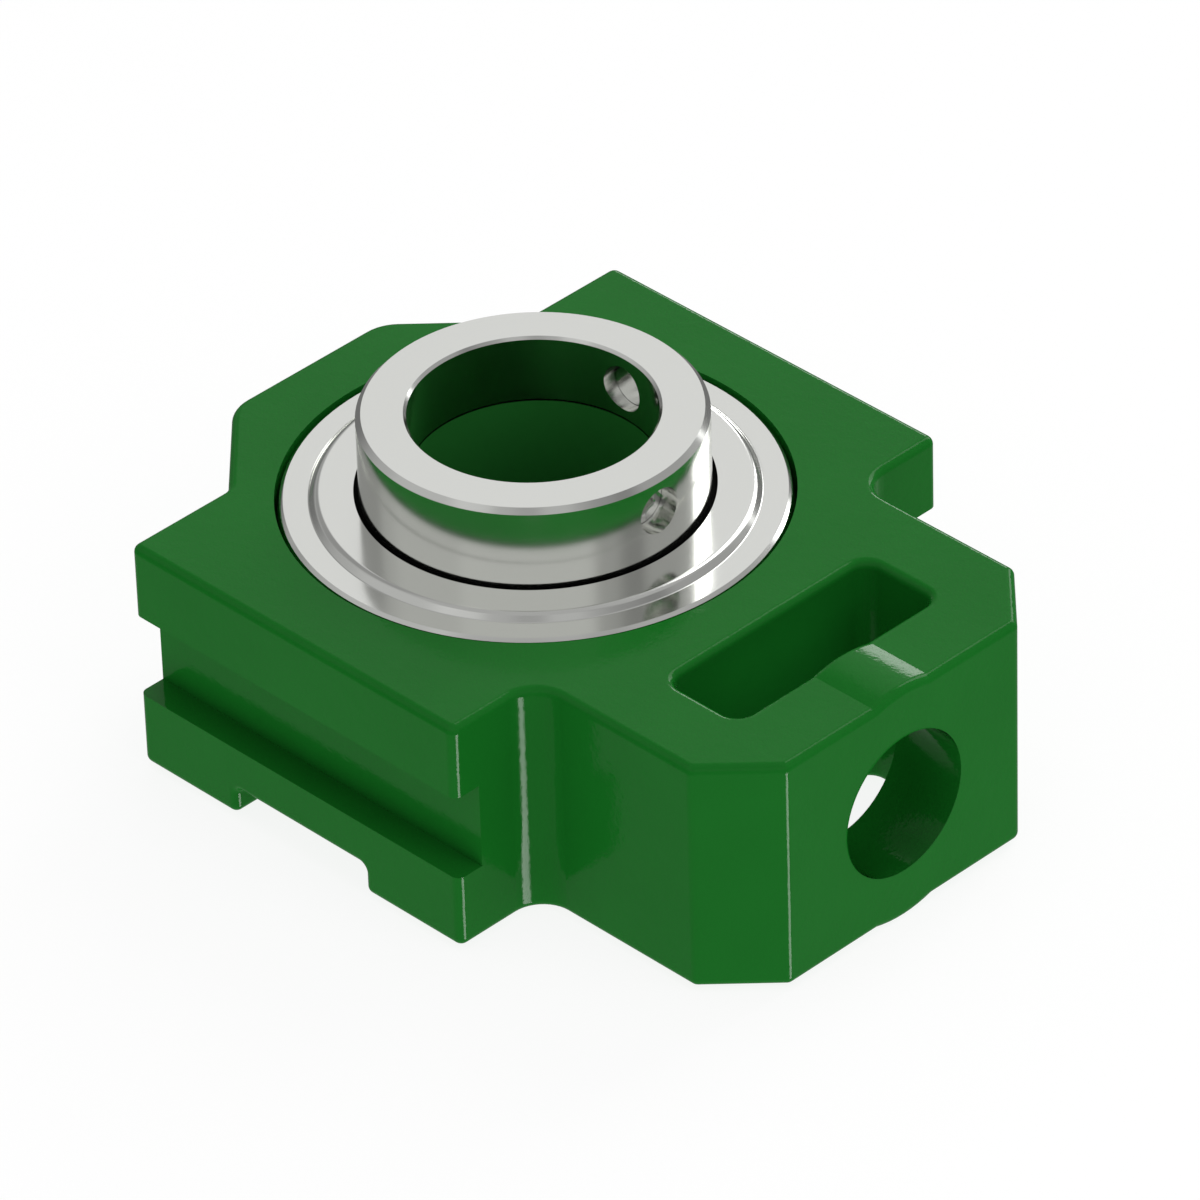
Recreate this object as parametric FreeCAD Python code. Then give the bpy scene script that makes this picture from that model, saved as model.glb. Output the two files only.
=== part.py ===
import FreeCAD, Part
import math
import os

# Take-up bearing unit. Lengths in millimetres.
# Z is the shaft axis, z = 0 is the middle of the housing, +X points to the take-up screw.

# Housing casting
housing_thickness = 37.0
guide_length = 63.5
overall_width = 94.5
groove_depth = 4.5
groove_height = 13.5
end_block_width = 63.5
end_corner_chamfer = 9.25
far_end_width = 28.7
far_end_reach = 14.35
far_corner_radius = 6.5
edge_radius = 1.2
corner_allowance = 0.1
shoulder_radius = 4.8
neck_radius = 2.4

# Nut slot and screw hole in the end block
slot_wall = 8.07
slot_length = 13.5
slot_width = 38.8
slot_corner_radius = 2.6
slot_rim_radius = 1.25
end_wall = 12.1
screw_hole_radius = 11.2
boss_rise = 0.77

# Channel across the back face
channel_width = 25.66
channel_depth = 4.45
channel_radius = 1.15

# Insert bearing, from the shaft outwards
bore_radius = 17.5
inner_ring_wall = 7.05
ball_centre_rise = 2.2
outer_land_rise = 3.15
plate_seat_step = 1.8
outer_ring_wall = 4.8
collar_reach = 13.7
ring_tail = 4.7
bore_chamfer = 0.4
ring_chamfer = 0.77
outer_ring_chamfer = 0.42

# Rolling set
ball_radius = 5.556
ball_count = 9
ball_clearance = 0.03
raceway_allowance = 0.244
ball_to_ring_face = 2.944

# Cage of two riveted pressings
cage_sheet = 0.8
cage_width = 2.7
pocket_clearance = 0.15
rivet_radius = 0.75
rivet_clearance = 0.03
rivet_head_radius = 1.2
rivet_head_height = 0.6

# Seat for the insert in the housing
seat_clearance = 0.03
seat_mouth_step = 0.24
back_bore_step = 4.53
loading_slot_width = 18.0
loading_slot_clearance = 0.3

# Seals: pressed plate in the outer ring with a rubber lip on the inner ring
plate_seat_depth = 0.7
plate_sheet = 0.65
plate_rise = 0.97
plate_rim_width = 0.19
plate_slope_width = 1.02
plate_bend = 1.3
plate_foot_bend = 0.3
plate_gap = 0.65
lip_recess = 0.55
lip_clearance = 0.03
lip_wall = 0.3
lip_skirt_width = 0.9
lip_width = 2.3
lip_to_cage = 0.67

# Set screws, at right angles to each other in the collar of the inner ring
screw_angles_deg = (0, 90)
screw_from_top = 5.5
screw_thread_radius = 3.5
screw_clearance = 0.03
screw_recess = 1.4
screw_point_gap = 0.45
screw_chamfer = 0.4
hex_across_flats = 4.0
hex_depth = 2.2
hex_mouth = 0.35
hex_drill_depth = 0.6
cup_radius = 2.7
cup_depth = 1.6

half_thickness = housing_thickness / 2
half_guide = guide_length / 2
half_width = overall_width / 2
half_block = end_block_width / 2
corner_radius = edge_radius + corner_allowance

inner_ring_radius = bore_radius + inner_ring_wall
pitch_radius = inner_ring_radius + ball_centre_rise
raceway_radius = ball_radius + raceway_allowance
outer_land_radius = pitch_radius + outer_land_rise
plate_seat_radius = outer_land_radius + plate_seat_step
sphere_radius = plate_seat_radius + outer_ring_wall
seat_radius = sphere_radius + seat_clearance

half_ring = ball_radius + ball_to_ring_face
insert_z = half_thickness - half_ring
ring_face_z = insert_z + half_ring
inner_ring_top_z = ring_face_z + collar_reach
inner_ring_bottom_z = insert_z - half_ring - ring_tail
plate_inner_radius = inner_ring_radius + plate_gap

slot_start_x = seat_radius + slot_wall
slot_end_x = slot_start_x + slot_length
end_face_x = slot_end_x + end_wall

X_AXIS = FreeCAD.Vector(1, 0, 0)
Z_AXIS = FreeCAD.Vector(0, 0, 1)
ORIGIN = FreeCAD.Vector(0, 0, 0)


def vec(x, y, z=0.0):
    return FreeCAD.Vector(x, y, z)


def outline(corners):
    """Closed wire in the plane z = 0 through corners given as x, y and rounding radius."""
    ends = []
    for index, (x, y, radius) in enumerate(corners):
        here = vec(x, y)
        before = vec(*corners[index - 1][:2])
        after = vec(*corners[(index + 1) % len(corners)][:2])
        to_before = (before - here).normalize()
        to_after = (after - here).normalize()
        half_angle = to_before.getAngle(to_after) / 2
        setback = radius / math.tan(half_angle)
        bisector = (to_before + to_after).normalize()
        middle = here + bisector * (radius / math.sin(half_angle) - radius)
        ends.append((here + to_before * setback, middle, here + to_after * setback, radius))
    edges = []
    for index, (start, middle, end, radius) in enumerate(ends):
        edges.append(Part.makeLine(ends[index - 1][2], start))
        if radius > 0:
            edges.append(Part.Arc(start, middle, end).toShape())
    return Part.Wire(edges)


def prism(wire, low_z, high_z):
    face = Part.Face(wire)
    face.translate(vec(0, 0, low_z))
    return face.extrude(vec(0, 0, high_z - low_z))


def box_between(x0, x1, y0, y1, z0, z1):
    return Part.makeBox(x1 - x0, y1 - y0, z1 - z0, vec(x0, y0, z0))


def cylinder_along_x(radius, x0, x1):
    return Part.makeCylinder(radius, x1 - x0, vec(x0, 0, 0), X_AXIS)


def revolved(corners):
    """Solid of revolution about Z from corners given as radius, height and rounding radius."""
    wire = outline(corners)
    wire.rotate(ORIGIN, X_AXIS, 90)
    return Part.Face(wire).revolve(ORIGIN, Z_AXIS, 360)


def revolved_edges(edges):
    return Part.Face(Part.Wire(edges)).revolve(ORIGIN, Z_AXIS, 360)


def mirrored_in_bearing(shape):
    """Copy of the shape on the other side of the bearing's middle plane."""
    return shape.mirror(vec(0, 0, insert_z), Z_AXIS)


def edges_in_plane(shape, height):
    found = []
    for edge in shape.Edges:
        box = edge.BoundBox
        if abs(box.ZMin - height) < 0.001 and abs(box.ZMax - height) < 0.001:
            found.append(edge)
    return found


def housing_blank():
    """Plan outline of the casting, with the back channel and its rounded edges."""
    half_far_end = far_end_width / 2
    side = [
        (-half_guide - far_end_reach, half_far_end, far_corner_radius),
        (-half_guide, half_far_end + far_end_reach, neck_radius),
        (-half_guide, half_width, corner_radius),
        (half_guide, half_width, corner_radius),
        (half_guide, half_block, shoulder_radius),
        (end_face_x - end_corner_chamfer, half_block, corner_radius),
        (end_face_x, half_block - end_corner_chamfer, corner_radius),
    ]
    other_side = [(x, -y, radius) for x, y, radius in reversed(side)]
    blank = prism(outline(side + other_side), -half_thickness, half_thickness)
    blank = blank.cut(back_channel())
    rounded = edges_in_plane(blank, half_thickness) + edges_in_plane(blank, -half_thickness)
    return blank.makeFillet(edge_radius, rounded + channel_mouths(blank))


def back_channel():
    """Tool for the channel across the back face, rounded along its ceiling."""
    half_channel = channel_width / 2
    ceiling_z = -half_thickness + channel_depth
    channel = box_between(-half_channel, half_channel, -overall_width, overall_width,
                          -housing_thickness, ceiling_z)
    long_edges = [edge for edge in edges_in_plane(channel, ceiling_z) if edge.Length > overall_width]
    return channel.makeFillet(channel_radius, long_edges)


def channel_mouths(blank):
    """The edges of the channel on the two long sides of the housing."""
    reach = channel_width / 2 + 0.001
    mouths = []
    for edge in blank.Edges:
        box = edge.BoundBox
        on_side = box.YLength < 0.001 and abs(abs(box.YMin) - half_width) < 0.001
        if on_side and box.XMin > -reach and box.XMax < reach:
            mouths.append(edge)
    return mouths


def nut_slot():
    """Tool for the slot that holds the nut of the take-up screw, right through the block."""
    half_slot = slot_width / 2
    corners = [
        (slot_start_x, half_slot, slot_corner_radius),
        (slot_end_x, half_slot, slot_corner_radius),
        (slot_end_x, -half_slot, slot_corner_radius),
        (slot_start_x, -half_slot, slot_corner_radius),
    ]
    return prism(outline(corners), -housing_thickness, housing_thickness)


def slot_rims(body):
    """The edges of the nut slot on both faces of the housing."""
    rims = []
    for edge in edges_in_plane(body, half_thickness) + edges_in_plane(body, -half_thickness):
        box = edge.BoundBox
        within_x = box.XMin > slot_start_x - slot_rim_radius and box.XMax < slot_end_x + slot_rim_radius
        if within_x and box.YMax < half_block - end_corner_chamfer:
            rims.append(edge)
    return rims


def screw_boss():
    """Round boss over the screw hole, a little proud of both faces and rounded at both ends."""
    boss = cylinder_along_x(half_thickness + boss_rise, slot_end_x, end_face_x)
    outer_rim = [edge for edge in boss.Edges if edge.BoundBox.XMin > end_face_x - 0.001]
    boss = boss.makeFillet(edge_radius, outer_rim)
    slot_rim = [edge for edge in boss.Edges if edge.BoundBox.XMax < slot_end_x + 0.001]
    return boss.makeFillet(slot_rim_radius, slot_rim)


def guide_groove(side):
    """Tool for the groove along one side, in which a rail of the frame runs."""
    bottom_y = side * (half_width - groove_depth)
    outside_y = side * overall_width
    half_groove = groove_height / 2
    return box_between(-guide_length, guide_length, min(bottom_y, outside_y), max(bottom_y, outside_y),
                       -half_groove, half_groove)


def insert_seat():
    """Tool for the spherical seat, the straight bore in front of it and the one behind it."""
    back_bore_radius = seat_radius - back_bore_step
    back_z = insert_z - math.sqrt(seat_radius ** 2 - back_bore_radius ** 2)
    mouth_radius = seat_radius - seat_mouth_step
    mouth_z = insert_z + math.sqrt(seat_radius ** 2 - mouth_radius ** 2)
    seat = Part.Arc(vec(back_bore_radius, 0, back_z), vec(seat_radius, 0, insert_z),
                    vec(mouth_radius, 0, mouth_z)).toShape()
    points = [
        vec(mouth_radius, 0, mouth_z),
        vec(mouth_radius, 0, housing_thickness),
        vec(0, 0, housing_thickness),
        vec(0, 0, -housing_thickness),
        vec(back_bore_radius, 0, -housing_thickness),
        vec(back_bore_radius, 0, back_z),
    ]
    return revolved_edges([seat] + Part.makePolygon(points).Edges)


def loading_slots():
    """Tool for two opposite slots from the back, through which the insert goes in on edge."""
    reach = seat_radius + loading_slot_clearance
    half_slot = loading_slot_width / 2
    low_z = insert_z - housing_thickness
    drum = Part.makeCylinder(reach, housing_thickness, vec(0, 0, low_z))
    return drum.common(box_between(-half_slot, half_slot, -reach, reach, low_z, insert_z))


def housing():
    body = housing_blank().cut(nut_slot())
    body = body.makeFillet(slot_rim_radius, slot_rims(body))
    body = body.fuse(screw_boss())
    body = body.cut(cylinder_along_x(screw_hole_radius, slot_end_x - slot_length / 2, end_face_x))
    body = body.cut([guide_groove(1), guide_groove(-1)])
    body = body.cut(insert_seat()).cut(loading_slots())
    return body.removeSplitter()


def raceway(centre_radius):
    """Tool for a raceway, a ring of circular section."""
    return Part.makeTorus(centre_radius, raceway_radius, vec(0, 0, insert_z), Z_AXIS)


def outer_ring():
    """Outer ring with a spherical outside, one raceway and a seat for each seal plate."""
    face_reach = math.sqrt(sphere_radius ** 2 - half_ring ** 2)
    seat_z = half_ring - plate_seat_depth
    sphere_side = Part.Arc(vec(face_reach, 0, insert_z - half_ring), vec(sphere_radius, 0, insert_z),
                           vec(face_reach, 0, insert_z + half_ring)).toShape()
    points = [
        vec(face_reach, 0, insert_z + half_ring),
        vec(plate_seat_radius, 0, insert_z + half_ring),
        vec(plate_seat_radius, 0, insert_z + seat_z),
        vec(outer_land_radius, 0, insert_z + seat_z),
        vec(outer_land_radius, 0, insert_z - seat_z),
        vec(plate_seat_radius, 0, insert_z - seat_z),
        vec(plate_seat_radius, 0, insert_z - half_ring),
        vec(face_reach, 0, insert_z - half_ring),
    ]
    ring = revolved_edges([sphere_side] + Part.makePolygon(points).Edges)
    face_edges = edges_in_plane(ring, insert_z + half_ring) + edges_in_plane(ring, insert_z - half_ring)
    outside_edges = [edge for edge in face_edges if edge.BoundBox.XMax > plate_seat_radius + 0.001]
    ring = ring.makeChamfer(outer_ring_chamfer, outside_edges)
    groove_centre_radius = pitch_radius + ball_radius + ball_clearance - raceway_radius
    return ring.cut(raceway(groove_centre_radius))


def direction_at(angle_deg):
    angle = math.radians(angle_deg)
    return vec(math.cos(angle), math.sin(angle))


def inner_ring():
    """Inner ring with its long collar, one raceway and two threaded screw holes."""
    mouth_radius = bore_radius + bore_chamfer
    shoulder = inner_ring_radius - ring_chamfer
    ring = revolved([
        (mouth_radius, inner_ring_bottom_z, 0),
        (shoulder, inner_ring_bottom_z, 0),
        (inner_ring_radius, inner_ring_bottom_z + ring_chamfer, 0),
        (inner_ring_radius, inner_ring_top_z - ring_chamfer, 0),
        (shoulder, inner_ring_top_z, 0),
        (mouth_radius, inner_ring_top_z, 0),
        (bore_radius, inner_ring_top_z - bore_chamfer, 0),
        (bore_radius, inner_ring_bottom_z + bore_chamfer, 0),
    ])
    groove_centre_radius = pitch_radius - ball_radius - ball_clearance + raceway_radius
    ring = ring.cut(raceway(groove_centre_radius))
    for angle_deg in screw_angles_deg:
        place = vec(0, 0, inner_ring_top_z - screw_from_top)
        hole = Part.makeCylinder(screw_thread_radius, inner_ring_radius, place, direction_at(angle_deg))
        ring = ring.cut(hole)
    return ring


def ball_centre(index):
    return direction_at(360 * (index + 0.5) / ball_count) * pitch_radius + vec(0, 0, insert_z)


def rivet_centre(index):
    return direction_at(360 * index / ball_count) * pitch_radius + vec(0, 0, insert_z)


def ball(index):
    return Part.makeSphere(ball_radius, ball_centre(index))


def cage_ring(height):
    """Flat ring of the cage's width, on the bearing's middle plane."""
    base = vec(0, 0, insert_z)
    ring = Part.makeCylinder(pitch_radius + cage_width / 2, height, base)
    return ring.cut(Part.makeCylinder(pitch_radius - cage_width / 2, height, base))


def cage_half():
    """Upper pressing of the cage: flat tabs with rivet holes between domed ball pockets."""
    pocket = ball_radius + pocket_clearance
    dome = pocket + cage_sheet
    high_ring = cage_ring(2 * dome)
    domes = [high_ring.common(Part.makeSphere(dome, ball_centre(index))) for index in range(ball_count)]
    half = cage_ring(cage_sheet).fuse(domes)
    hole_radius = rivet_radius + rivet_clearance
    pockets = [Part.makeSphere(pocket, ball_centre(index)) for index in range(ball_count)]
    holes = [Part.makeCylinder(hole_radius, 2 * cage_sheet, rivet_centre(index) - vec(0, 0, cage_sheet / 2))
             for index in range(ball_count)]
    return half.cut(pockets + holes).removeSplitter()


def cage_rivet(index):
    """Rivet with two flat heads that clamps the tabs of the two pressings."""
    head_z = vec(0, 0, cage_sheet)
    centre = rivet_centre(index)
    shank = Part.makeCylinder(rivet_radius, 2 * cage_sheet, centre - head_z)
    top = Part.makeCylinder(rivet_head_radius, rivet_head_height, centre + head_z)
    bottom = Part.makeCylinder(rivet_head_radius, rivet_head_height, centre - head_z, vec(0, 0, -1))
    return shank.fuse([top, bottom]).removeSplitter()


def seal_plate():
    """Pressed plate: its rim sits in the outer ring and its flat part stands above the face."""
    top_z = ring_face_z + plate_rise
    low_z = ring_face_z - plate_seat_depth
    rim_top_z = low_z + plate_sheet
    foot_radius = plate_seat_radius - plate_rim_width
    crest_radius = foot_radius - plate_slope_width
    turn = math.atan2(top_z - rim_top_z, plate_slope_width)
    setback = plate_sheet * math.tan(turn / 2)
    return revolved([
        (plate_seat_radius, low_z, 0),
        (plate_seat_radius, rim_top_z, 0),
        (foot_radius, rim_top_z, plate_foot_bend),
        (crest_radius, top_z, plate_bend),
        (plate_inner_radius, top_z, 0),
        (plate_inner_radius, top_z - plate_sheet, 0),
        (crest_radius - setback, top_z - plate_sheet, plate_bend - plate_sheet),
        (foot_radius - setback, low_z, plate_foot_bend + plate_sheet),
    ])


def seal_lip():
    """Rubber lip moulded under the plate's inner edge, wiping the inner ring."""
    plate_top_z = ring_face_z + plate_rise
    plate_under_z = plate_top_z - plate_sheet
    contact = inner_ring_radius + lip_clearance
    low_z = insert_z + ball_radius + pocket_clearance + cage_sheet + lip_to_cage
    middle_z = (plate_under_z + low_z) / 2
    skirt = contact + lip_skirt_width
    return revolved([
        (contact, plate_top_z - lip_recess, 0),
        (plate_inner_radius, plate_top_z - lip_recess, 0),
        (plate_inner_radius, plate_under_z, 0),
        (plate_inner_radius + lip_width, plate_under_z, 0),
        (plate_inner_radius + lip_width, plate_under_z - lip_wall, 0),
        (skirt, middle_z, 0),
        (contact + lip_wall, low_z, 0),
        (contact, low_z, 0),
    ])


def hexagon(across_flats):
    corner = across_flats / math.sqrt(3)
    return Part.makePolygon([direction_at(60 * k) * corner for k in range(7)])


def set_screw(angle_deg):
    """Socket set screw with a hexagon outside and a cup point towards the shaft."""
    length = inner_ring_wall - screw_recess - screw_point_gap
    floor_z = length - hex_depth
    half_hex = hex_across_flats / 2
    mouth_radius = hex_across_flats / math.sqrt(3) + hex_mouth
    body = Part.makeCylinder(screw_thread_radius - screw_clearance, length)
    body = body.makeChamfer(screw_chamfer, edges_in_plane(body, 0) + edges_in_plane(body, length))
    socket = prism(hexagon(hex_across_flats), floor_z, length)
    drill_point = Part.makeCone(0, half_hex, hex_drill_depth, vec(0, 0, floor_z - hex_drill_depth))
    mouth = Part.makeCone(half_hex, mouth_radius, hex_mouth, vec(0, 0, length - hex_mouth))
    cup = Part.makeCone(cup_radius, 0, cup_depth)
    body = body.cut([socket, drill_point, mouth, cup])
    direction = direction_at(angle_deg)
    point_radius = bore_radius + screw_point_gap
    place = direction * point_radius + vec(0, 0, inner_ring_top_z - screw_from_top)
    body.Placement = FreeCAD.Placement(place, FreeCAD.Rotation(Z_AXIS, direction))
    return body


os.makedirs("parts", exist_ok=True)

upper_cage = cage_half()
upper_plate = seal_plate()
upper_lip = seal_lip()

sub_parts = {
    "housing": housing(),
    "outer_ring": outer_ring(),
    "inner_ring": inner_ring(),
    "cage_upper": upper_cage,
    "cage_lower": mirrored_in_bearing(upper_cage),
    "cage_rivets": Part.makeCompound([cage_rivet(index) for index in range(ball_count)]),
    "seal_plate_upper": upper_plate,
    "seal_plate_lower": mirrored_in_bearing(upper_plate),
    "seal_lip_upper": upper_lip,
    "seal_lip_lower": mirrored_in_bearing(upper_lip),
}
for number, angle_deg in enumerate(screw_angles_deg):
    sub_parts["set_screw_%d" % (number + 1)] = set_screw(angle_deg)
for number in range(ball_count):
    sub_parts["ball_%d" % (number + 1)] = ball(number)

for name, shape in sub_parts.items():
    shape.exportStep("parts/%s.step" % name)
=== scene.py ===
import bmesh
import math

import bpy
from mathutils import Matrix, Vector


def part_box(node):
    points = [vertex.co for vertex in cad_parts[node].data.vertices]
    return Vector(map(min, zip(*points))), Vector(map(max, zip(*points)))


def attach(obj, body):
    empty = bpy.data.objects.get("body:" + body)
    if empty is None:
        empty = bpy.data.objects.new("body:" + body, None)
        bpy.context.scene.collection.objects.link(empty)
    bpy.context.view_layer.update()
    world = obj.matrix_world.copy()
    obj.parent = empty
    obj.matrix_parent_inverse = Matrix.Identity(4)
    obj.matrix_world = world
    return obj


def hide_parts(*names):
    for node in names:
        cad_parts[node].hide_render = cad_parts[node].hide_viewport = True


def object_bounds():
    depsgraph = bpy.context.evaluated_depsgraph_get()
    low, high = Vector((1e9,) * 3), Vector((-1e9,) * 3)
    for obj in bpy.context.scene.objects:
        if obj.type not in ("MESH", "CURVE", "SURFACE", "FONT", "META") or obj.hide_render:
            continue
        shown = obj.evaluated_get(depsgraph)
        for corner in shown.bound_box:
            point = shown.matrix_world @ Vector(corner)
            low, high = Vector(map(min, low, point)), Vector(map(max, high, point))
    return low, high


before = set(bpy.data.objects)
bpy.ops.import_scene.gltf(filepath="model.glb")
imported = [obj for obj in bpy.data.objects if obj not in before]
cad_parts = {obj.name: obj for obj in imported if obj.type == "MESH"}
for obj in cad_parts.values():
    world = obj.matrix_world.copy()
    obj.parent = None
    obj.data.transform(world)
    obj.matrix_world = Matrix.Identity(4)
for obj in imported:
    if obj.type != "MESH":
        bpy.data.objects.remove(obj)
size_of_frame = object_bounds()


# The photographer's camera: a long lens about 1.4 m away, looking down on the corner between
# the end block and the near guide. It stands where a fit to the part's straight edges puts it.
tilt_deg, roll_deg, heading_deg = 54.4478, 1.4944, 44.9599
camera = bpy.data.objects.new("camera", bpy.data.cameras.new("camera"))
camera.data.sensor_width = 36.0
camera.data.lens = 299.25
camera.location = (0.82137, -0.78073, 0.80887)
camera.rotation_euler = [math.radians(turn) for turn in (tilt_deg, roll_deg, heading_deg)]
bpy.context.scene.collection.objects.link(camera)
bpy.context.scene.camera = camera
bpy.context.scene.view_settings.view_transform = "Standard"


# The studio: a grey-white tent of light. A tall softbox behind on the right and a strip light below
# the table's edge draw the white bands on the steel and the thin lines on the casting's upright edges.
# The level faces mirror a dimmer panel behind, and dark panels deepen the rest.
def add(tree, kind, links=None, **settings):
    """Adds a node, sets its own properties, and fills its sockets with values or links."""
    node = tree.nodes.new(kind)
    for name, value in settings.items():
        setattr(node, name, value)
    for key, value in (links or {}).items():
        socket = node.inputs[key]
        if isinstance(value, bpy.types.NodeSocket):
            tree.links.new(value, socket)
        else:
            socket.default_value = value
    return node


def maths(tree, operation, *values):
    """A Math node's result."""
    return add(tree, "ShaderNodeMath", dict(enumerate(values)), operation=operation).outputs[0]


world = bpy.data.worlds.new("light_tent")
bpy.context.scene.world = world
world.use_nodes = True
tent = world.node_tree
tent.nodes.clear()
direction = add(tent, "ShaderNodeSeparateXYZ", {0: add(tent, "ShaderNodeTexCoord").outputs["Generated"]})
azimuth = maths(tent, "ARCTAN2", direction.outputs["Y"], direction.outputs["X"])
height = direction.outputs["Z"]


def window(value, low, high, soft):
    """One inside low to high and zero outside, with soft edges."""
    slopes = []
    for start, end in ((low - soft, low + soft), (high + soft, high - soft)):
        slopes.append(add(tent, "ShaderNodeMapRange", {"Value": value, "From Min": start, "From Max": end},
                          interpolation_type="SMOOTHSTEP").outputs[0])
    return maths(tent, "MULTIPLY", *slopes)


def softbox(from_deg, to_deg, low_deg, high_deg, soft_deg, strength):
    """A panel between two azimuths and two heights above the horizon, dark where strength is negative."""
    soft_height = 0.04
    across = window(azimuth, math.radians(from_deg), math.radians(to_deg), math.radians(soft_deg))
    along = window(height, math.sin(math.radians(low_deg)), math.sin(math.radians(high_deg)), soft_height)
    return maths(tent, "MULTIPLY", maths(tent, "MULTIPLY", across, along), strength)


horizon_light, upper_light, floor_light = 0.165, 0.41, 0.22
walls = add(tent, "ShaderNodeMapRange", {
    "Value": height, "From Min": 0.05, "From Max": 0.42,
    "To Min": horizon_light, "To Max": upper_light}, interpolation_type="SMOOTHSTEP")
floor = maths(tent, "MULTIPLY", window(height, -1.5, -0.45, 0.12), floor_light)
total = maths(tent, "ADD", walls.outputs[0], floor)
for panel in (
        # The strip light, the tall softbox, the dimmer panel behind and a small lamp under it.
        softbox(-10, 17, -48, -23, 4, 12.0),
        softbox(82, 110, 13.5, 57, 3, 2.9),
        softbox(112, 145, 24, 52, 6, 0.33),
        softbox(121, 131, 12, 23, 2, 5.0),
        # Faint panels in front.
        softbox(-96, 12, 22, 46, 6, 0.12),
        softbox(-150, -96, 28, 60, 8, 0.07),
        softbox(-108, -78, 46, 60, 6, 0.16),
        softbox(-40, -14, 50, 64, 6, 0.12),
        # Dark panels: in front and high, on the right, on the left across the tent's seam, and low.
        softbox(-60, 10, 50, 64, 6, -0.07),
        softbox(-6, 30, 28, 50, 5, -0.19),
        softbox(30, 70, 22, 46, 5, -0.07),
        softbox(150, 190, 22, 60, 6, -0.12),
        softbox(-190, -165, 22, 60, 6, -0.12),
        softbox(-150, -50, -30, 18, 10, -0.10)):
    total = maths(tent, "ADD", total, panel)
glow = add(tent, "ShaderNodeBackground", {"Color": (1, 1, 1, 1), "Strength": total})
add(tent, "ShaderNodeOutputWorld", {"Surface": glow.outputs[0]})


def silk(name, place, power):
    """A round silk of one metre, lit from behind and turned to the part. No surface mirrors it."""
    lamp = bpy.data.objects.new(name, bpy.data.lights.new(name, "AREA"))
    lamp.data.shape = "DISK"
    lamp.data.size = 1.0
    lamp.data.energy = power
    lamp.location = place
    lamp.rotation_euler = Vector(place).to_track_quat("Z", "Y").to_euler()
    lamp.visible_glossy = False
    bpy.context.scene.collection.objects.link(lamp)
    return lamp


silks = [silk("overhead_silk", (0, 0, 1.5), 2.7), silk("end_silk", (1.14, 0.12, 0.96), 2.8)]


# The table: an opal light table, lit from below and clear from underneath, so that the back shows.
# Two pieces that the camera doesn't see go with it: a plug of black felt, which keeps the table's
# light out of the bore, and a grey card over the screw hole, which hides the strip from the collar.
def linear(hex_colour):
    """Turns an sRGB hex colour into the linear colour that a shader takes."""
    levels = [int(hex_colour[i:i + 2], 16) / 255 for i in (1, 3, 5)]
    return (*(v / 12.92 if v <= 0.04045 else ((v + 0.055) / 1.055) ** 2.4 for v in levels), 1.0)


def finish(name):
    """A new empty material."""
    material = bpy.data.materials.new(name)
    material.use_nodes = True
    material.node_tree.nodes.clear()
    return material


def surface(material, **sockets):
    """Ends a material with one Principled shader."""
    tree = material.node_tree
    shader = add(tree, "ShaderNodeBsdfPrincipled", {k.replace("_", " "): v for k, v in sockets.items()})
    add(tree, "ShaderNodeOutputMaterial", {"Surface": shader.outputs[0]})


def built(name, points, faces, material):
    """A new object from points in metres and faces."""
    mesh = bpy.data.meshes.new(name)
    mesh.from_pydata(points, [], faces)
    mesh.materials.append(material)
    piece = bpy.data.objects.new(name, mesh)
    bpy.context.scene.collection.objects.link(piece)
    return piece


def disc(name, centre, right, up, radius, material):
    """A flat disc of 64 corners that the camera doesn't see."""
    corners = 64
    turns = [math.tau * k / corners for k in range(corners)]
    points = [centre + (right * math.cos(turn) + up * math.sin(turn)) * radius for turn in turns]
    piece = built(name, points, [tuple(range(corners))], material)
    piece.visible_camera = False
    return piece


along_x, along_y, along_z = Vector((1, 0, 0)), Vector((0, 1, 0)), Vector((0, 0, 1))
bore_radius, plug_slack, plug_lift = 0.0175, 0.0001, 0.001
screw_hole_radius, card_gap = 0.0112, 0.0002

opal = finish("opal_light_table")
tree = opal.node_tree
lit = add(tree, "ShaderNodeBsdfPrincipled", {
    "Base Color": linear("#707070"), "Roughness": 0.9, "Specular IOR Level": 0.0,
    "Emission Color": (1, 1, 1, 1), "Emission Strength": 0.88})
clear = add(tree, "ShaderNodeBsdfTransparent")
underneath = add(tree, "ShaderNodeNewGeometry").outputs["Backfacing"]
one_way = add(tree, "ShaderNodeMixShader", {"Fac": underneath, 1: lit.outputs[0], 2: clear.outputs[0]})
add(tree, "ShaderNodeOutputMaterial", {"Surface": one_way.outputs[0]})
half_width, table_z = 10, size_of_frame[0].z
corners = [(x * half_width, y * half_width, table_z) for x, y in ((-1, -1), (1, -1), (1, 1), (-1, 1))]
table = built("table_top", corners, [(0, 1, 2, 3)], opal)
table.visible_glossy = False

felt = finish("black_felt")
surface(felt, Base_Color=linear("#0b1a0d"), Roughness=1.0, Specular_IOR_Level=0.0)
plug_centre = along_z * (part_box("inner_ring")[0].z + plug_lift)
plug = disc("felt_plug", plug_centre, along_x, along_y, bore_radius - plug_slack, felt)

card = finish("grey_card")
surface(card, Base_Color=linear("#8c968c"), Roughness=1.0, Specular_IOR_Level=0.0)
flag_centre = along_x * (size_of_frame[1].x + card_gap)
flag = disc("grey_flag", flag_centre, along_y, along_z, screw_hole_radius, card)
flag.visible_diffuse = False


# The casting: grey iron under one coat of green gloss enamel, dipped and air-dried.
# The enamel's skin follows the sand-cast surface in soft waves, which make its highlights waver.
def coordinates(tree):
    """A point's place on its piece, in metres."""
    return add(tree, "ShaderNodeTexCoord").outputs["Object"]


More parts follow.
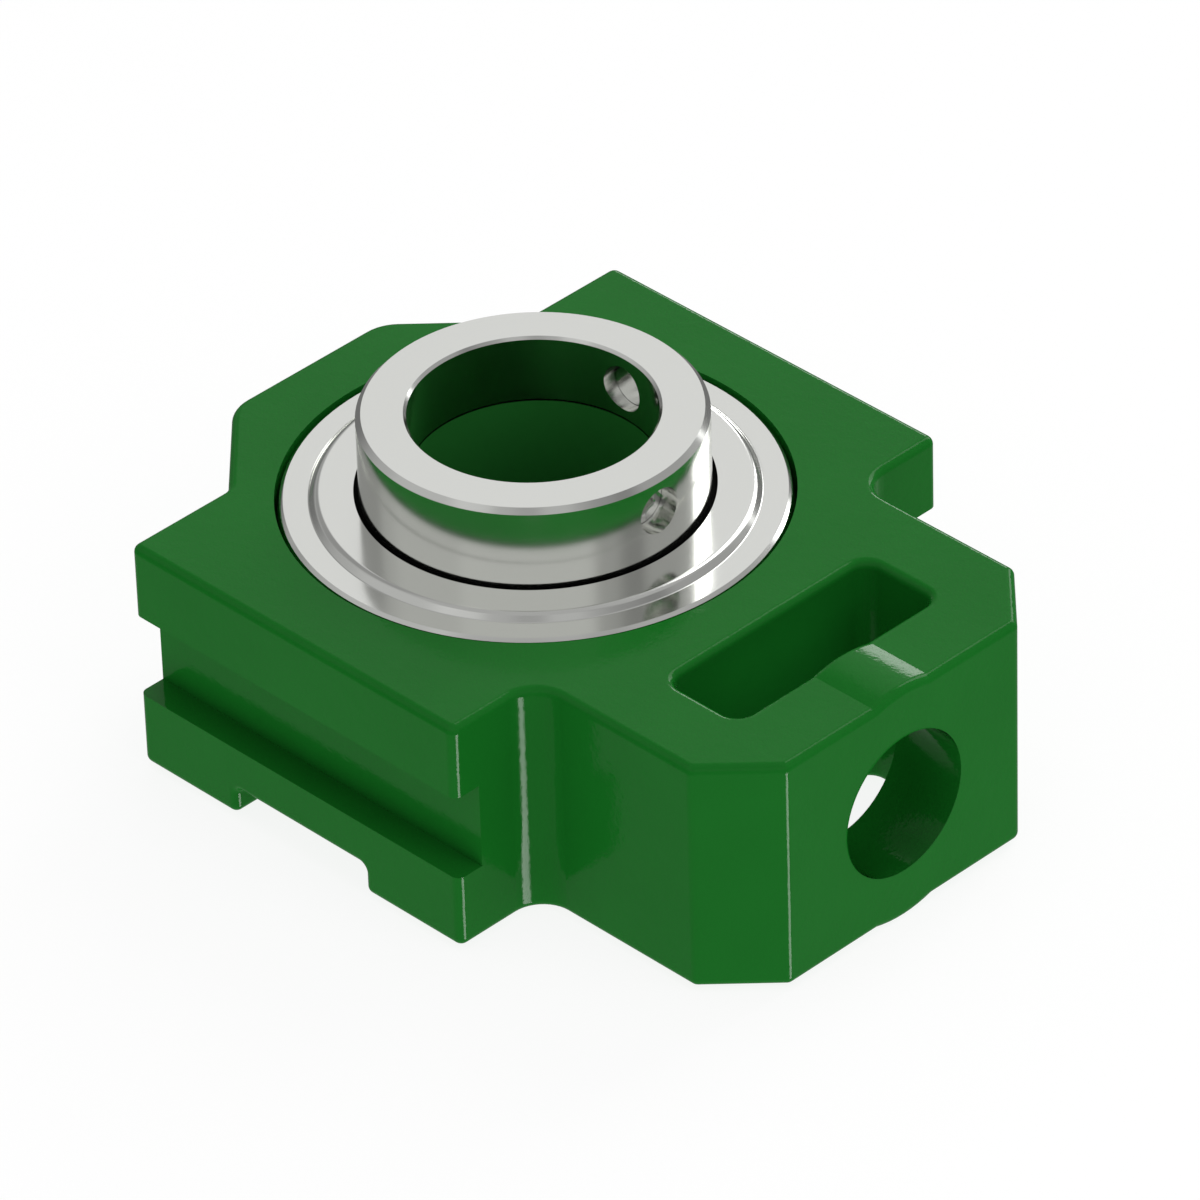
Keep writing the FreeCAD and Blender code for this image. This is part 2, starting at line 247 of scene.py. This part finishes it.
def noise(tree, size_mm, detail=2.0, vector=None):
    """Noise whose grains are about size_mm across, 0 to 1."""
    return add(tree, "ShaderNodeTexNoise", {
        "Vector": vector or coordinates(tree), "Scale": 1000 / size_mm, "Detail": detail}).outputs[0]


def scaled(tree, value, low, high):
    """Maps 0 to 1 onto low to high."""
    return add(tree, "ShaderNodeMapRange", {"Value": value, "To Min": low, "To Max": high}).outputs[0]


def bumped(tree, *layers):
    """Bump from several heights, each given as a value and its depth in millimetres."""
    links = {"Strength": 1.0}
    for value, depth_mm in layers:
        links = {**links, "Height": value, "Distance": depth_mm / 1000}
        links["Normal"] = add(tree, "ShaderNodeBump", links).outputs[0]
    return links["Normal"]


def blended(tree, factor, first, second):
    """Mix of two colours, which are the Mix node's inputs 6 and 7 and its output 2."""
    return add(tree, "ShaderNodeMix", {"Factor": factor, 6: first, 7: second}, data_type="RGBA").outputs[2]


def dressed(names, material):
    """Puts one material on CAD nodes."""
    for name in names:
        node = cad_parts[name]
        node.data.materials.clear()
        node.data.materials.append(material)


enamel = finish("green_gloss_enamel")
tree = enamel.node_tree
waves = ((4.5, 0.035), (1.4, 0.030), (0.5, 0.018))
surface(enamel, Base_Color=blended(tree, noise(tree, 14), linear("#177122"), linear("#1a7826")),
        Roughness=scaled(tree, noise(tree, 2.5), 0.05, 0.09), Specular_IOR_Level=0.12,
        Normal=bumped(tree, *((noise(tree, width_mm), depth_mm) for width_mm, depth_mm in waves)))
dressed(["housing"], enamel)


# The outer ring: through-hardened bearing steel. Its face and its spherical outside are ground. The
# wheel leaves fine lines round the axis, which draw each highlight out a little. They are drawn
# 0.25 mm wide, coarser than real ones, so that they show.
def from_axis(tree):
    """A point's distance from the shaft's axis and its height, in metres."""
    place = add(tree, "ShaderNodeSeparateXYZ", {0: coordinates(tree)}).outputs
    level = add(tree, "ShaderNodeCombineXYZ", {"X": place["X"], "Y": place["Y"]}).outputs[0]
    return add(tree, "ShaderNodeVectorMath", {0: level}, operation="LENGTH").outputs["Value"], place["Z"]


def round_lines(tree, size_mm):
    """Noise drawn out round the axis, as a grinding wheel leaves it."""
    distance, level = from_axis(tree)
    wrapped = add(tree, "ShaderNodeCombineXYZ", {"X": distance, "Y": level}).outputs[0]
    return noise(tree, size_mm, 3.0, wrapped)


ring_steel = finish("ground_bearing_steel")
tree = ring_steel.node_tree
surface(ring_steel, Base_Color=linear("#f0f1ed"), Metallic=1.0,
        Roughness=scaled(tree, noise(tree, 3), 0.12, 0.15),
        Normal=bumped(tree, (round_lines(tree, 0.25), 0.0002)))
dressed(["outer_ring"], ring_steel)


# The inner ring: the same steel, its collar lapped bright, so that it mirrors the casting clearly. The
# lower part of the bore carries the casting's green enamel, as the photograph shows, and a thin near-black
# band at its top is painted shade, standing for the shade in the gap there. Above it the metal is bare.
paint_top, gap_shade_middle, gap_shade_half = 0.0215, 0.02172, 0.00012
bore = finish("lapped_steel_with_enamelled_bore")
tree = bore.node_tree
distance, level = from_axis(tree)
inside = maths(tree, "LESS_THAN", distance, bore_radius + 0.00005)
painted = maths(tree, "MULTIPLY", inside, maths(tree, "LESS_THAN", level, paint_top))
# Painted shade: a thin near-black band that is not metal stands for the shade in the gap at the enamel's
# top.
painted_gap_shade = maths(tree, "MULTIPLY", inside, maths(tree, "COMPARE", level, gap_shade_middle, gap_shade_half))
steel_and_enamel = blended(tree, painted, linear("#f0f1ed"), linear("#2c7c34"))
haze = maths(tree, "ADD", scaled(tree, noise(tree, 3), 0.13, 0.16), maths(tree, "MULTIPLY", painted, 0.2))
surface(bore, Base_Color=blended(tree, painted_gap_shade, steel_and_enamel, linear("#050a05")),
        Metallic=maths(tree, "SUBTRACT", 1.0, maths(tree, "MAXIMUM", painted, painted_gap_shade)),
        Roughness=haze, Specular_IOR_Level=0.03,
        Normal=bumped(tree, (round_lines(tree, 0.3), 0.00015)))
dressed(["inner_ring"], bore)


# The balls: chrome steel, hardened and lapped until no grinding mark is left, so they mirror like
# glass. They run in the grooves of the two rings.
ball_steel = finish("lapped_ball_steel")
tree = ball_steel.node_tree
surface(ball_steel, Base_Color=linear("#d8d9d8"), Metallic=1.0,
        Roughness=scaled(tree, noise(tree, 1), 0.03, 0.06))
dressed([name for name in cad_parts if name.startswith("ball_")], ball_steel)


# The cage: two pressings of mild steel sheet that wrap the balls. They are phosphated and lightly
# oiled, so greyer and duller than the rings. The crystals are drawn coarser than they are, to show.
cage_steel = finish("phosphated_sheet_steel")
tree = cage_steel.node_tree
surface(cage_steel, Base_Color=blended(tree, noise(tree, 1.2), linear("#7c7c78"), linear("#92928d")),
        Metallic=1.0, Roughness=scaled(tree, noise(tree, 0.6), 0.32, 0.46),
        Normal=bumped(tree, (noise(tree, 0.2), 0.002)))
dressed(["cage_upper", "cage_lower"], cage_steel)


# The cage's rivets: nine rivets of mild steel wire, one between each two balls. Their ends are upset
# into domed heads, which clamp the two pressings. The node tree makes one and sets it round a circle.
rivets_low, rivets_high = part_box("cage_rivets")
head_radius, grip, sides = 0.0012, 0.0016, 24
rivet_inputs = {
    "Count": ("NodeSocketInt", 9),
    "Circle Radius": ("NodeSocketFloat", rivets_high.x - head_radius),
    "Circle Height": ("NodeSocketFloat", (rivets_low.z + rivets_high.z) / 2),
    "Shank Radius": ("NodeSocketFloat", 0.00075),
    "Grip": ("NodeSocketFloat", grip),
    "Head Radius": ("NodeSocketFloat", head_radius),
    "Head Height": ("NodeSocketFloat", (rivets_high.z - rivets_low.z) / 2 - grip / 2),
    "Material": ("NodeSocketMaterial", cage_steel)}
tree = bpy.data.node_groups.new("rivets_round_a_circle", "GeometryNodeTree")
tree.interface.new_socket("Geometry", in_out="OUTPUT", socket_type="NodeSocketGeometry")
identifiers = {name: tree.interface.new_socket(name, in_out="INPUT", socket_type=kind).identifier
               for name, (kind, _) in rivet_inputs.items()}
given = add(tree, "NodeGroupInput").outputs


def joined(tree, *parts):
    """Several meshes of a tree as one."""
    join = add(tree, "GeometryNodeJoinGeometry")
    for part in parts:
        tree.links.new(part, join.inputs[0])
    return join.outputs[0]


globe = add(tree, "GeometryNodeMeshUVSphere", {
    "Segments": sides, "Rings": sides // 2, "Radius": 1.0}).outputs["Mesh"]
place = add(tree, "ShaderNodeSeparateXYZ", {0: add(tree, "GeometryNodeInputPosition").outputs[0]})
lower_half = maths(tree, "LESS_THAN", place.outputs["Z"], -0.001)
upper_half = add(tree, "GeometryNodeDeleteGeometry", {
    "Geometry": globe, "Selection": lower_half}).outputs[0]
dome = add(tree, "GeometryNodeSetShadeSmooth", {"Geometry": upper_half, "Shade Smooth": True}).outputs[0]
flat = add(tree, "GeometryNodeMeshCircle", {"Vertices": sides, "Radius": 1.0}, fill_type="NGON").outputs[0]
underside = add(tree, "GeometryNodeFlipFaces", {"Mesh": flat}).outputs[0]
head = add(tree, "GeometryNodeMergeByDistance", {
    "Geometry": joined(tree, dome, underside), "Distance": 0.001}).outputs[0]
head_size = add(tree, "ShaderNodeCombineXYZ", {
    "X": given["Head Radius"], "Y": given["Head Radius"], "Z": given["Head Height"]}).outputs[0]
lift = add(tree, "ShaderNodeCombineXYZ", {"Z": maths(tree, "MULTIPLY", given["Grip"], 0.5)}).outputs[0]
upper = add(tree, "GeometryNodeTransform", {
    "Geometry": head, "Translation": lift, "Scale": head_size}).outputs[0]
lower = add(tree, "GeometryNodeTransform", {"Geometry": upper, "Rotation": (math.pi, 0, 0)}).outputs[0]
shank = add(tree, "GeometryNodeMeshCylinder", {
    "Vertices": sides, "Radius": given["Shank Radius"], "Depth": given["Grip"]},
    fill_type="NONE").outputs["Mesh"]
circle = add(tree, "GeometryNodeMeshCircle", {
    "Vertices": given["Count"], "Radius": given["Circle Radius"]}).outputs[0]
raised = add(tree, "ShaderNodeCombineXYZ", {"Z": given["Circle Height"]}).outputs[0]
spots = add(tree, "GeometryNodeTransform", {"Geometry": circle, "Translation": raised}).outputs[0]
rivets = add(tree, "GeometryNodeInstanceOnPoints", {
    "Points": spots, "Instance": joined(tree, upper, lower, shank)}).outputs[0]
real = add(tree, "GeometryNodeRealizeInstances", {"Geometry": rivets}).outputs[0]
steel = add(tree, "GeometryNodeSetMaterial", {"Geometry": real, "Material": given["Material"]}).outputs[0]
add(tree, "NodeGroupOutput", {"Geometry": steel})

host = built("rivet_host", [], [], cage_steel)
maker = host.modifiers.new("rivets_round_a_circle", "NODES")
maker.node_group = tree
for name, (_, value) in rivet_inputs.items():
    maker[identifiers[name]] = value
bpy.context.view_layer.update()
mesh = bpy.data.meshes.new_from_object(host.evaluated_get(bpy.context.evaluated_depsgraph_get()))
domed = bpy.data.objects.new("cage_rivets_domed", mesh)
bpy.context.scene.collection.objects.link(domed)
bpy.data.objects.remove(host)
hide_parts("cage_rivets")
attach(domed, "cage")


# The seal plates: bright cold-rolled sheet, pressed in one stroke into a flat ring with a rounded step,
# and pushed into the outer ring's seat. The rolls leave faint straight lines along the sheet, drawn
# 0.2 mm wide, coarser than real ones, so that they show.
plate_steel = finish("bright_rolled_sheet_steel")
tree = plate_steel.node_tree
rolled = add(tree, "ShaderNodeMapping", {"Vector": coordinates(tree), "Scale": (0.03, 1, 1)}).outputs[0]
surface(plate_steel, Base_Color=linear("#f0f1ed"), Metallic=1.0,
        Roughness=scaled(tree, noise(tree, 3), 0.12, 0.15),
        Normal=bumped(tree, (noise(tree, 0.2, 3.0, rolled), 0.0001)))


def rounded(corners):
    """A closed outline of corners, each given as radius from the axis, height and rounding."""
    steps, outline = 10, []
    for before, here, after in zip(corners[-1:] + corners[:-1], corners, corners[1:] + corners[:1]):
        corner, rounding = Vector(here[:2]), here[2]
        if rounding == 0:
            outline.append(corner)
            continue
        back = (Vector(before[:2]) - corner).normalized()
        on = (Vector(after[:2]) - corner).normalized()
        half = back.angle(on) / 2
        middle = corner + (back + on).normalized() * rounding / math.sin(half)
        start = corner + back * rounding / math.tan(half) - middle
        end = corner + on * rounding / math.tan(half) - middle
        for k in range(steps + 1):
            outline.append(middle + start.slerp(end, k / steps).normalized() * rounding)
    return outline


def smoothed(piece, sharp_deg):
    """Merges doubles, turns all faces outwards, and shades smooth but for edges over sharp_deg."""
    shell = bmesh.new()
    shell.from_mesh(piece.data)
    bmesh.ops.remove_doubles(shell, verts=shell.verts, dist=1e-7)
    bmesh.ops.recalc_face_normals(shell, faces=shell.faces)
    for face in shell.faces:
        face.smooth = True
    shell.to_mesh(piece.data)
    shell.free()
    piece.data.set_sharp_from_angle(angle=math.radians(sharp_deg))


def turned(name, outline, material):
    """A ring with this outline, turned about the Z axis, in millimetres."""
    turns, count = 256, len(outline)
    points, faces = [], []
    for turn in range(turns):
        angle = math.tau * turn / turns
        for p in outline:
            points.append((p.x * math.cos(angle) / 1000, p.x * math.sin(angle) / 1000, p.y / 1000))
        for k in range(count):
            here, there = turn * count, (turn + 1) % turns * count
            faces.append((here + k, there + k, there + (k + 1) % count, here + (k + 1) % count))
    ring = built(name, points, faces, material)
    smoothed(ring, 30)
    flats = ring.modifiers.new("flats_stay_flat", "WEIGHTED_NORMAL")
    flats.keep_sharp = True
    return ring


plate_low, plate_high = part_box("seal_plate_upper")
sheet, lip_breadth = 0.65, 0.7
foot_inset, foot_rounding, crest_inset, crest_rounding = 0.19, 0.3, 1.21, 1.3
seat, top, under = plate_high.x * 1000, plate_high.z * 1000, plate_low.z * 1000
foot, crest = seat - foot_inset, seat - crest_inset
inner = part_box("inner_ring")[1].x * 1000 + lip_breadth
setback = sheet * math.tan(math.atan2(top - under - sheet, foot - crest) / 2)
upper_plate = rounded([
    (seat, under, 0), (seat, under + sheet, 0),
    (foot, under + sheet, foot_rounding), (crest, top, crest_rounding),
    (inner, top, 0), (inner, top - sheet, 0),
    (crest - setback, top - sheet, crest_rounding - sheet),
    (foot - setback, under, foot_rounding + sheet)])
middle_z = (plate_high.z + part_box("seal_plate_lower")[0].z) * 500
lower_plate = [Vector((p.x, 2 * middle_z - p.y)) for p in upper_plate]
for name, outline in (("seal_plate_upper", upper_plate), ("seal_plate_lower", lower_plate)):
    plate = turned(name + "_pressed", outline, plate_steel)
    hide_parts(name)
    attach(plate, "insert")


# The seal lips: black nitrile rubber, moulded under the plates' inner edges to wipe the inner ring.
# The mould leaves them matt, so they show as a black line round the collar.
rubber = finish("black_nitrile_rubber")
tree = rubber.node_tree
surface(rubber, Base_Color=linear("#020202"), Roughness=scaled(tree, noise(tree, 0.5), 0.6, 0.8),
        Specular_IOR_Level=0.03, Normal=bumped(tree, (noise(tree, 0.12), 0.003)))
dressed(["seal_lip_upper", "seal_lip_lower"], rubber)


# The set screws: M8 fine socket screws of bright steel with a cup point that bites the shaft. The
# thread is one rolled helix of 1 mm pitch, and the socket is a broached 4 mm hexagon with a drill point.
# The first is run in deep and the second is backed out, as the photograph shows them.
screw_steel = finish("bright_screw_steel")
tree = screw_steel.node_tree
surface(screw_steel, Base_Color=linear("#eeefeb"), Metallic=1.0,
        Roughness=scaled(tree, noise(tree, 0.8), 0.12, 0.17),
        Normal=bumped(tree, (noise(tree, 0.3), 0.0003)))

screw_height, length = 26.7, 3.35
crest_radius, thread_depth, pitch, chamfer = 3.49, 0.4, 1.0, 0.04
cup_radius, cup_depth = 3.2, 0.8
socket_half, socket_mouth, socket_bevel, socket_depth = 2.0, 2.45, 0.15, 1.6
drill_radius, drill_depth = 1.95, 2.1


def even(radius):
    """A round outline."""
    return lambda angle: radius


def hexagon(angle):
    """The socket's outline."""
    return socket_half / math.cos(angle % (math.pi / 3) - math.pi / 6)


def thread(z):
    """The thread's outline at a height z above the point, cut back at both ends."""
    limit = crest_radius - chamfer + min(z, length - z)

    def radius_at(angle):
        turn = (z / pitch - angle / math.tau) % 1.0
        return min(limit, crest_radius - thread_depth * abs(2 * turn - 1))

    return radius_at


def set_screw(name, axis, across, reach):
    """A screw whose point is reach millimetres from the shaft's axis, lofted from rings of 72 corners."""
    corners, rings_per_mm = 72, 10
    turns = [math.tau * k / corners for k in range(corners)]
    steps = [step / rings_per_mm for step in range(1, round(length * rings_per_mm))]
    rings = [(cup_depth, even(0.0)), (0.0, even(cup_radius)), (0.0, even(crest_radius - chamfer))]
    rings += [(z, thread(z)) for z in steps]
    rings += [(length, even(crest_radius - chamfer)), (length, even(socket_mouth)),
              (length - socket_bevel, hexagon), (length - socket_depth, hexagon),
              (length - socket_depth, even(drill_radius)), (length - drill_depth, even(0.0))]
    centre = axis * reach + along_z * screw_height
    third = axis.cross(across)
    points, faces = [], []
    for z, radius_at in rings:
        for turn in turns:
            aside = across * math.cos(turn) + third * math.sin(turn)
            points.append((centre + (axis * z + aside * radius_at(turn))) / 1000)
    for here in range(0, corners * (len(rings) - 1), corners):
        there = here + corners
        for k in range(corners):
            on = (k + 1) % corners
            faces.append((here + k, here + on, there + on, there + k))
    screw = built(name + "_threaded", points, faces, screw_steel)
    smoothed(screw, 25)
    edges = screw.modifiers.new("broken_edges", "BEVEL")
    edges.width = 0.00005
    edges.segments = 2
    edges.limit_method = "ANGLE"
    edges.angle_limit = math.radians(40)
    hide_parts(name)
    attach(screw, "shaft_ring")


set_screw("set_screw_1", along_x, -along_z, 17.95)
set_screw("set_screw_2", along_y, along_x, 19.4)
